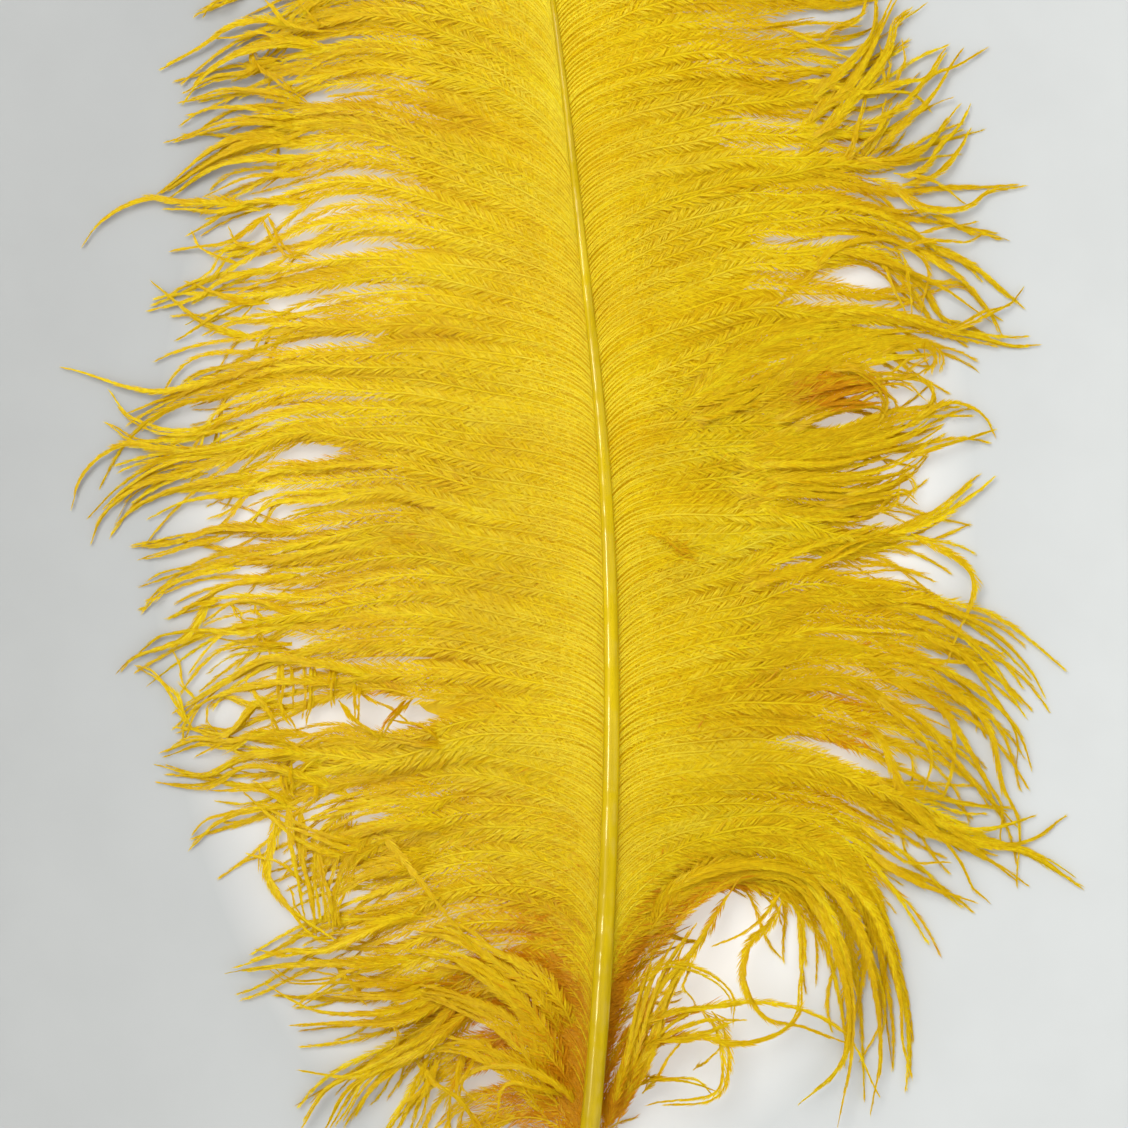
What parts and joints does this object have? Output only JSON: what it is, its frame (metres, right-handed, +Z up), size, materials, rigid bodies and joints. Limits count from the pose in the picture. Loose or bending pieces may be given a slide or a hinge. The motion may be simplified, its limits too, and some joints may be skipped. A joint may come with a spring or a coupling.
{
  "type": "ostrich feather",
  "caption": "Dyed ostrich wing plume lying flat: a bowed, tapered quill and shaft with a full vane of loose, drooping barbs on each side.",
  "frame": {"origin": "middle of the underside of the plume's box, on the surface it lies on", "axes": "+Y along the plume from the quill to the tip, +Z up out of the surface it lies on, +X towards the vane that is on the right when the tip points away"},
  "size_m": [0.2564, 0.4644, 0.0156],
  "materials": {
    "barbs": "dyed yellow, soft, with a faint sheen",
    "shaft": "dyed yellow horn, smooth and glossy"
  },
  "bodies": {
    "root": {"feather": "barbs"}
  },
  "joints": []
}
